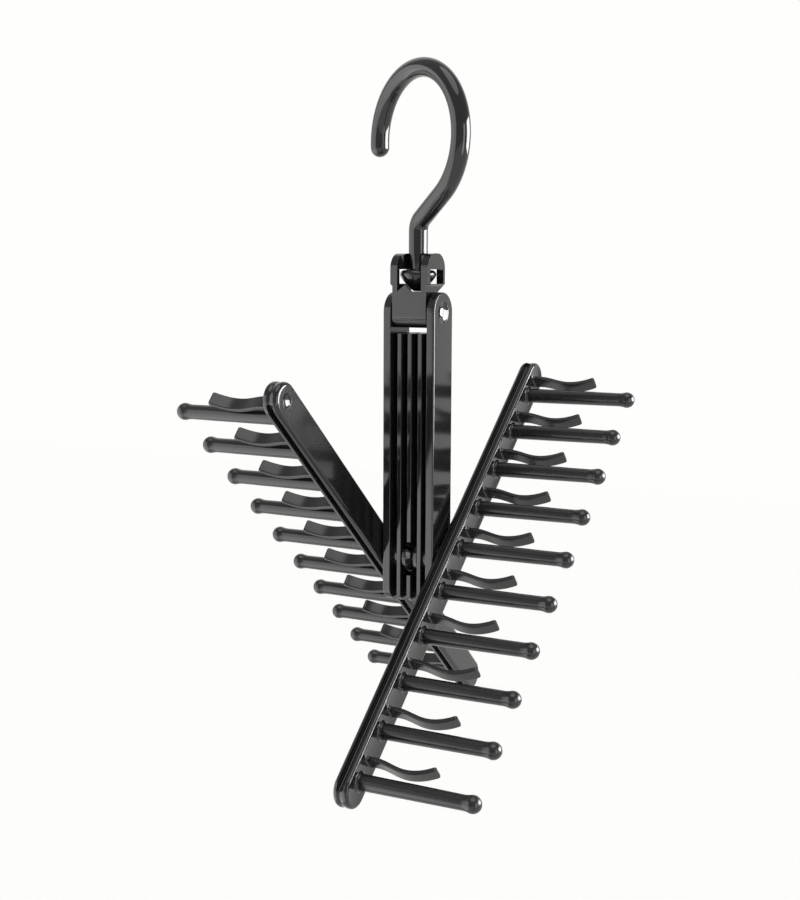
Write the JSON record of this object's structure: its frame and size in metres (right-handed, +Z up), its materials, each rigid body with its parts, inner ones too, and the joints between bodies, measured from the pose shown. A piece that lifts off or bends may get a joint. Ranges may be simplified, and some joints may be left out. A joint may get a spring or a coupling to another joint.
{
  "type": "rotating tie rack",
  "caption": "Hanging tie rack: a turning hook and tilting connector carry a ribbed column with crossed arms that turn, with ball-ended pegs and spring tongues.",
  "frame": {"origin": "underside of the hook loop's top, where the rack rests on the closet rail", "axes": "+Z up along the hook's shaft and the column; +X along the arms' pivot, to the right arm; +Y away from the column's open, ribbed front"},
  "size_m": [0.1452, 0.186, 0.2994],
  "materials": {
    "black_plastic": "gloss",
    "pin_steel": "satin"
  },
  "bodies": {
    "hook": {"hook": "black_plastic"},
    "connector": {"connector": "black_plastic"},
    "column": {"column": "black_plastic", "hinge_pin": "pin_steel"},
    "left_arm": {"left_arm": "black_plastic", "left_stud": "black_plastic", "left_peg_01": "black_plastic", "left_peg_02": "black_plastic", "left_peg_03": "black_plastic", "left_peg_04": "black_plastic", "left_peg_05": "black_plastic", "left_peg_06": "black_plastic", "left_peg_07": "black_plastic", "left_peg_08": "black_plastic", "left_peg_09": "black_plastic", "left_peg_10": "black_plastic"},
    "left_tongue_01": {"left_tongue_01": "black_plastic"},
    "left_tongue_02": {"left_tongue_02": "black_plastic"},
    "left_tongue_03": {"left_tongue_03": "black_plastic"},
    "left_tongue_04": {"left_tongue_04": "black_plastic"},
    "left_tongue_05": {"left_tongue_05": "black_plastic"},
    "left_tongue_06": {"left_tongue_06": "black_plastic"},
    "left_tongue_07": {"left_tongue_07": "black_plastic"},
    "left_tongue_08": {"left_tongue_08": "black_plastic"},
    "left_tongue_09": {"left_tongue_09": "black_plastic"},
    "left_tongue_10": {"left_tongue_10": "black_plastic"},
    "right_arm": {"right_arm": "black_plastic", "right_stud": "black_plastic", "right_peg_01": "black_plastic", "right_peg_02": "black_plastic", "right_peg_03": "black_plastic", "right_peg_04": "black_plastic", "right_peg_05": "black_plastic", "right_peg_06": "black_plastic", "right_peg_07": "black_plastic", "right_peg_08": "black_plastic", "right_peg_09": "black_plastic", "right_peg_10": "black_plastic"},
    "right_tongue_01": {"right_tongue_01": "black_plastic"},
    "right_tongue_02": {"right_tongue_02": "black_plastic"},
    "right_tongue_03": {"right_tongue_03": "black_plastic"},
    "right_tongue_04": {"right_tongue_04": "black_plastic"},
    "right_tongue_05": {"right_tongue_05": "black_plastic"},
    "right_tongue_06": {"right_tongue_06": "black_plastic"},
    "right_tongue_07": {"right_tongue_07": "black_plastic"},
    "right_tongue_08": {"right_tongue_08": "black_plastic"},
    "right_tongue_09": {"right_tongue_09": "black_plastic"},
    "right_tongue_10": {"right_tongue_10": "black_plastic"}
  },
  "joints": [
    {"name": "hook_swivel", "type": "hinge", "parent": "hook", "child": "connector", "pos_m": [0, 0, -0.0743], "axis": [0, 0, 1], "continuous": true},
    {"name": "connector_tilt", "type": "hinge", "parent": "connector", "child": "column", "pos_m": [0, 0, -0.0995], "axis": [1, 0, 0], "range_deg": [-90, 90]},
    {"name": "left_arm_turn", "type": "hinge", "parent": "column", "child": "left_arm", "pos_m": [0, 0, -0.2072], "axis": [1, 0, 0], "continuous": true},
    {"name": "left_tongue_01_flex", "type": "hinge", "parent": "left_arm", "child": "left_tongue_01", "pos_m": [-0.02, -0.08184, -0.134], "axis": [0, 0.6667, 0.7454], "range_deg": [-2, 12], "stiffness_Nm_per_rad": 0.08},
    {"name": "left_tongue_02_flex", "type": "hinge", "parent": "left_arm", "child": "left_tongue_02", "pos_m": [-0.02, -0.06432, -0.14966], "axis": [0, 0.6667, 0.7454], "range_deg": [-2, 12], "stiffness_Nm_per_rad": 0.08},
    {"name": "left_tongue_03_flex", "type": "hinge", "parent": "left_arm", "child": "left_tongue_03", "pos_m": [-0.02, -0.04681, -0.16533], "axis": [0, 0.6667, 0.7454], "range_deg": [-2, 12], "stiffness_Nm_per_rad": 0.08},
    {"name": "left_tongue_04_flex", "type": "hinge", "parent": "left_arm", "child": "left_tongue_04", "pos_m": [-0.02, -0.02929, -0.181], "axis": [0, 0.6667, 0.7454], "range_deg": [-2, 12], "stiffness_Nm_per_rad": 0.08},
    {"name": "left_tongue_05_flex", "type": "hinge", "parent": "left_arm", "child": "left_tongue_05", "pos_m": [-0.02, -0.01178, -0.19666], "axis": [0, 0.6667, 0.7454], "range_deg": [-2, 12], "stiffness_Nm_per_rad": 0.08},
    {"name": "left_tongue_06_flex", "type": "hinge", "parent": "left_arm", "child": "left_tongue_06", "pos_m": [-0.02, 0.00574, -0.21233], "axis": [0, 0.6667, 0.7454], "range_deg": [-2, 12], "stiffness_Nm_per_rad": 0.08},
    {"name": "left_tongue_07_flex", "type": "hinge", "parent": "left_arm", "child": "left_tongue_07", "pos_m": [-0.02, 0.02326, -0.228], "axis": [0, 0.6667, 0.7454], "range_deg": [-2, 12], "stiffness_Nm_per_rad": 0.08},
    {"name": "left_tongue_08_flex", "type": "hinge", "parent": "left_arm", "child": "left_tongue_08", "pos_m": [-0.02, 0.04077, -0.24366], "axis": [0, 0.6667, 0.7454], "range_deg": [-2, 12], "stiffness_Nm_per_rad": 0.08},
    {"name": "left_tongue_09_flex", "type": "hinge", "parent": "left_arm", "child": "left_tongue_09", "pos_m": [-0.02, 0.05829, -0.25933], "axis": [0, 0.6667, 0.7454], "range_deg": [-2, 12], "stiffness_Nm_per_rad": 0.08},
    {"name": "left_tongue_10_flex", "type": "hinge", "parent": "left_arm", "child": "left_tongue_10", "pos_m": [-0.02, 0.0758, -0.275], "axis": [0, 0.6667, 0.7454], "range_deg": [-2, 12], "stiffness_Nm_per_rad": 0.08},
    {"name": "right_arm_turn", "type": "hinge", "parent": "column", "child": "right_arm", "pos_m": [0, 0, -0.2072], "axis": [1, 0, 0], "continuous": true},
    {"name": "right_tongue_01_flex", "type": "hinge", "parent": "right_arm", "child": "right_tongue_01", "pos_m": [0.02, 0.08184, -0.134], "axis": [0, -0.6667, 0.7454], "range_deg": [-2, 12], "stiffness_Nm_per_rad": 0.08},
    {"name": "right_tongue_02_flex", "type": "hinge", "parent": "right_arm", "child": "right_tongue_02", "pos_m": [0.02, 0.06432, -0.14966], "axis": [0, -0.6667, 0.7454], "range_deg": [-2, 12], "stiffness_Nm_per_rad": 0.08},
    {"name": "right_tongue_03_flex", "type": "hinge", "parent": "right_arm", "child": "right_tongue_03", "pos_m": [0.02, 0.04681, -0.16533], "axis": [0, -0.6667, 0.7454], "range_deg": [-2, 12], "stiffness_Nm_per_rad": 0.08},
    {"name": "right_tongue_04_flex", "type": "hinge", "parent": "right_arm", "child": "right_tongue_04", "pos_m": [0.02, 0.02929, -0.181], "axis": [0, -0.6667, 0.7454], "range_deg": [-2, 12], "stiffness_Nm_per_rad": 0.08},
    {"name": "right_tongue_05_flex", "type": "hinge", "parent": "right_arm", "child": "right_tongue_05", "pos_m": [0.02, 0.01178, -0.19666], "axis": [0, -0.6667, 0.7454], "range_deg": [-2, 12], "stiffness_Nm_per_rad": 0.08},
    {"name": "right_tongue_06_flex", "type": "hinge", "parent": "right_arm", "child": "right_tongue_06", "pos_m": [0.02, -0.00574, -0.21233], "axis": [0, -0.6667, 0.7454], "range_deg": [-2, 12], "stiffness_Nm_per_rad": 0.08},
    {"name": "right_tongue_07_flex", "type": "hinge", "parent": "right_arm", "child": "right_tongue_07", "pos_m": [0.02, -0.02326, -0.228], "axis": [0, -0.6667, 0.7454], "range_deg": [-2, 12], "stiffness_Nm_per_rad": 0.08},
    {"name": "right_tongue_08_flex", "type": "hinge", "parent": "right_arm", "child": "right_tongue_08", "pos_m": [0.02, -0.04077, -0.24366], "axis": [0, -0.6667, 0.7454], "range_deg": [-2, 12], "stiffness_Nm_per_rad": 0.08},
    {"name": "right_tongue_09_flex", "type": "hinge", "parent": "right_arm", "child": "right_tongue_09", "pos_m": [0.02, -0.05829, -0.25933], "axis": [0, -0.6667, 0.7454], "range_deg": [-2, 12], "stiffness_Nm_per_rad": 0.08},
    {"name": "right_tongue_10_flex", "type": "hinge", "parent": "right_arm", "child": "right_tongue_10", "pos_m": [0.02, -0.0758, -0.275], "axis": [0, -0.6667, 0.7454], "range_deg": [-2, 12], "stiffness_Nm_per_rad": 0.08}
  ]
}
